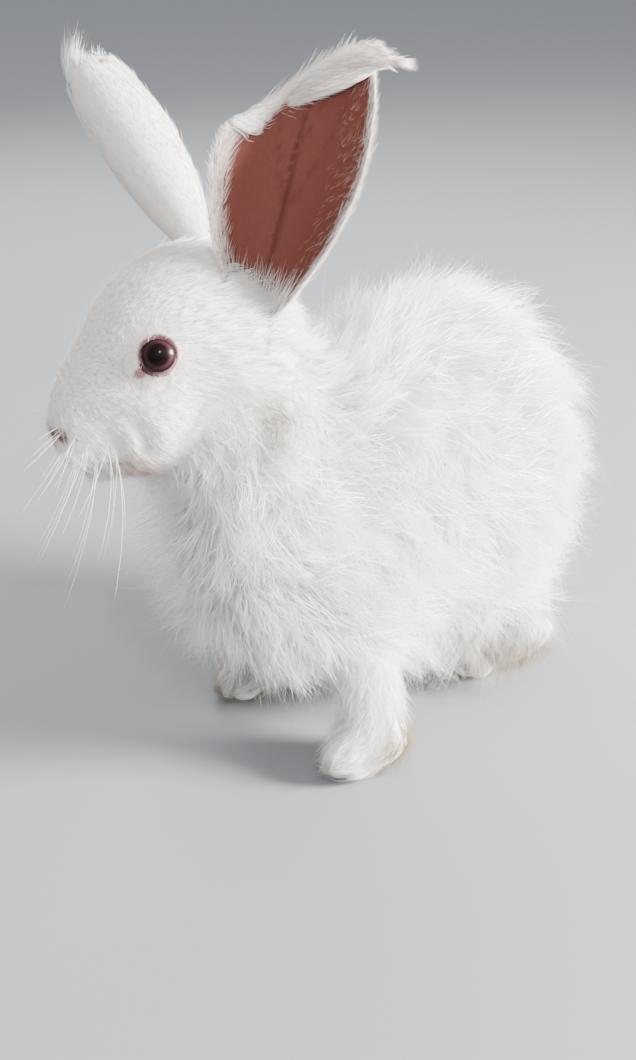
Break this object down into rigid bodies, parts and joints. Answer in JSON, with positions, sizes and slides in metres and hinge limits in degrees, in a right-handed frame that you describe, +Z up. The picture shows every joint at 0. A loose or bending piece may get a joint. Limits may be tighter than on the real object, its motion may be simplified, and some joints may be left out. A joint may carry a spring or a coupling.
{
  "type": "angora rabbit",
  "caption": "Still, life-size long-haired rabbit, crouching with its head up and both ears raised, for display on a flat surface.",
  "frame": {"origin": "on the floor under the middle of the whole outline", "axes": "+Z up, +X the way the body faces, +Y to the rabbit's left"},
  "size_m": [0.3026, 0.1542, 0.3008],
  "materials": {
    "coat": "long soft white hair in wavy locks",
    "face_fur": "short soft white fur",
    "ear_skin": "thin pink skin with fine white hair on its back and edges",
    "eye": "wet gloss, ruby red",
    "foot_fur": "short dense fur, cream and a little stained"
  },
  "bodies": {
    "root": {"head": "face_fur", "neck": "coat", "torso": "coat", "tail": "coat", "ear_left": "ear_skin", "ear_right": "ear_skin", "eye_left": "eye", "eye_right": "eye", "foreleg_left": "foot_fur", "foreleg_right": "foot_fur", "hindleg_left": "foot_fur", "hindleg_right": "foot_fur"}
  },
  "joints": []
}
